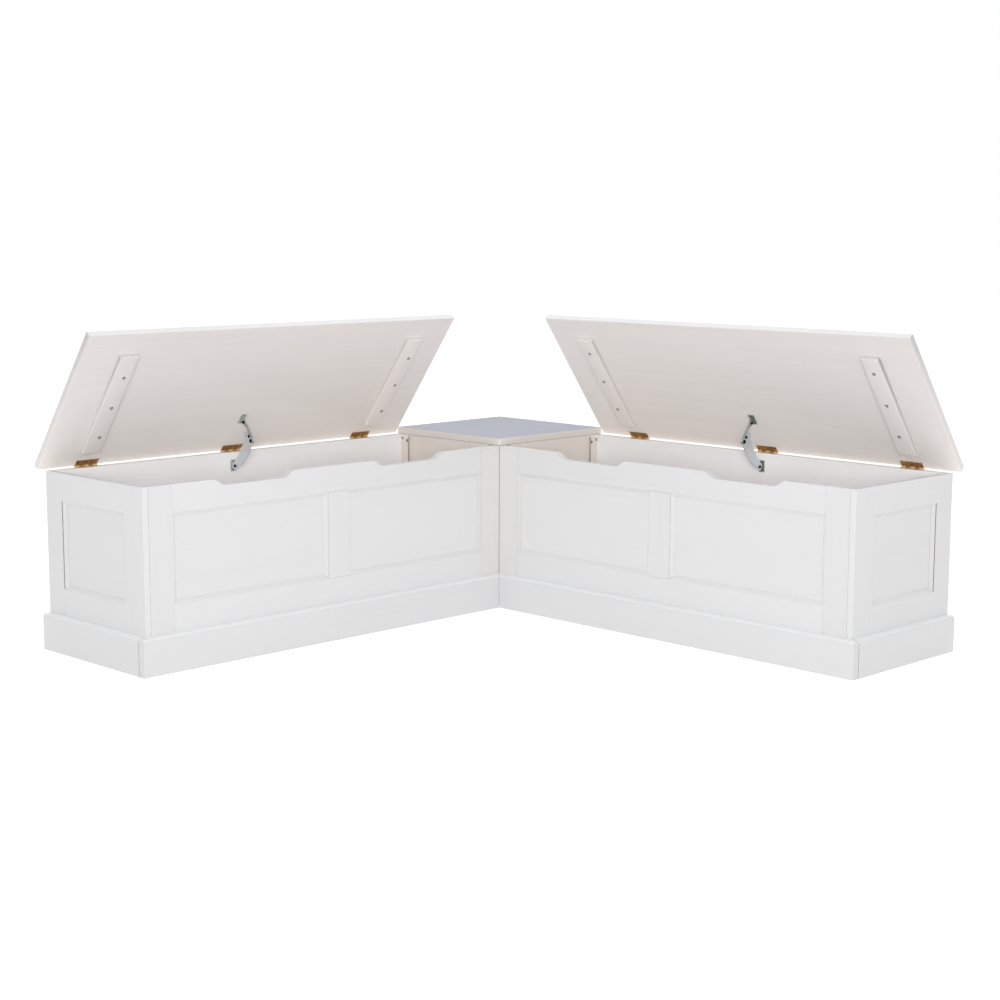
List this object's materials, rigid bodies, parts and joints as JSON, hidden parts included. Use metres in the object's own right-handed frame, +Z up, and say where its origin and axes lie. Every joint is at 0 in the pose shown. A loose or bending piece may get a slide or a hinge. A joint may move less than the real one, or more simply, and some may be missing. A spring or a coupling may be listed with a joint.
{
  "type": "corner storage bench",
  "caption": "L-shaped corner storage bench in painted wood: framed and panelled chests with hinged lids on folding stays, joined by a fixed square corner seat over a rounded plinth.",
  "frame": {"origin": "on the floor, below the middle of the bounding box as the bench stands with both lids propped open", "axes": "+Z up. The left wing's front faces +X and runs along -Y from the inner corner; the right wing's front faces -Y and runs along +X. The far corner, against the room's corner, is at -X +Y"},
  "size_m": [1.563, 1.563, 0.7701],
  "materials": {
    "painted_wood": "white-washed satin paint, faint grain",
    "painted_plinth": "white-washed satin paint, faint grain",
    "painted_inside": "thin white-wash over pine, matt",
    "painted_lid": "thin white-wash over pine, matt",
    "painted_seat": "white-washed satin paint with a cool sheen",
    "brass": "aged satin brass",
    "zinc_steel": "zinc-plated steel"
  },
  "bodies": {
    "carcass": {"left_front_outer_stile": "painted_wood", "left_front_mullion": "painted_wood", "left_front_inner_stile": "painted_wood", "left_front_top_rail": "painted_wood", "left_front_bottom_rail": "painted_wood", "left_front_panel": "painted_wood", "left_end_rear_stile": "painted_wood", "left_end_front_stile": "painted_wood", "left_end_top_rail": "painted_wood", "left_end_bottom_rail": "painted_wood", "left_end_panel": "painted_wood", "left_front_plinth": "painted_plinth", "left_end_plinth": "painted_plinth", "left_back_panel": "painted_inside", "left_divider": "painted_inside", "left_floor_panel": "painted_inside", "left_inner_hinge_back_leaf": "brass", "left_middle_hinge_back_leaf": "brass", "left_outer_hinge_back_leaf": "brass", "left_stay_wall_bracket": "zinc_steel", "right_front_outer_stile": "painted_wood", "right_front_mullion": "painted_wood", "right_front_inner_stile": "painted_wood", "right_front_top_rail": "painted_wood", "right_front_bottom_rail": "painted_wood", "right_front_panel": "painted_wood", "right_end_rear_stile": "painted_wood", "right_end_front_stile": "painted_wood", "right_end_top_rail": "painted_wood", "right_end_bottom_rail": "painted_wood", "right_end_panel": "painted_wood", "right_front_plinth": "painted_plinth", "right_end_plinth": "painted_plinth", "right_back_panel": "painted_inside", "right_divider": "painted_inside", "right_floor_panel": "painted_inside", "right_inner_hinge_back_leaf": "brass", "right_middle_hinge_back_leaf": "brass", "right_outer_hinge_back_leaf": "brass", "right_stay_wall_bracket": "zinc_steel", "corner_post": "painted_inside", "corner_top": "painted_seat"},
    "left_lid": {"left_lid": "painted_lid", "left_lid_inner_batten": "painted_lid", "left_lid_outer_batten": "painted_lid", "left_inner_hinge_lid_leaf": "brass", "left_middle_hinge_lid_leaf": "brass", "left_outer_hinge_lid_leaf": "brass", "left_stay_lid_bracket": "zinc_steel"},
    "left_stay_lower": {"left_stay_lower_arm": "zinc_steel"},
    "left_stay_upper": {"left_stay_upper_arm": "zinc_steel"},
    "right_lid": {"right_lid": "painted_lid", "right_lid_inner_batten": "painted_lid", "right_lid_outer_batten": "painted_lid", "right_inner_hinge_lid_leaf": "brass", "right_middle_hinge_lid_leaf": "brass", "right_outer_hinge_lid_leaf": "brass", "right_stay_lid_bracket": "zinc_steel"},
    "right_stay_lower": {"right_stay_lower_arm": "zinc_steel"},
    "right_stay_upper": {"right_stay_upper_arm": "zinc_steel"}
  },
  "joints": [
    {"name": "left_lid_hinge", "type": "hinge", "parent": "carcass", "child": "left_lid", "pos_m": [-0.76998, -0.21052, 0.4305], "axis": [0, -1, 0], "range_deg": [-53.7, 0]},
    {"name": "left_stay_wall_pivot", "type": "hinge", "parent": "carcass", "child": "left_stay_lower", "pos_m": [-0.72898, -0.22702, 0.396], "axis": [0, -1, 0], "range_deg": [-63.7, 0]},
    {"name": "left_stay_lid_pivot", "type": "hinge", "parent": "left_lid", "child": "left_stay_upper", "pos_m": [-0.69382, -0.22702, 0.51104], "axis": [0, -1, 0], "range_deg": [0, 43.8]},
    {"name": "right_lid_hinge", "type": "hinge", "parent": "carcass", "child": "right_lid", "pos_m": [0.21052, 0.76998, 0.4305], "axis": [-1, 0, 0], "range_deg": [-53.7, 0]},
    {"name": "right_stay_wall_pivot", "type": "hinge", "parent": "carcass", "child": "right_stay_lower", "pos_m": [0.21502, 0.72898, 0.396], "axis": [-1, 0, 0], "range_deg": [-63.7, 0]},
    {"name": "right_stay_lid_pivot", "type": "hinge", "parent": "right_lid", "child": "right_stay_upper", "pos_m": [0.21502, 0.69382, 0.51104], "axis": [-1, 0, 0], "range_deg": [0, 43.8]}
  ],
  "couplings": [
    {"joint": "left_stay_wall_pivot", "follows": "left_lid_hinge", "ratio": 1.1854},
    {"joint": "left_stay_lid_pivot", "follows": "left_lid_hinge", "ratio": -0.81527},
    {"joint": "right_stay_wall_pivot", "follows": "right_lid_hinge", "ratio": 1.1854},
    {"joint": "right_stay_lid_pivot", "follows": "right_lid_hinge", "ratio": -0.81527}
  ]
}
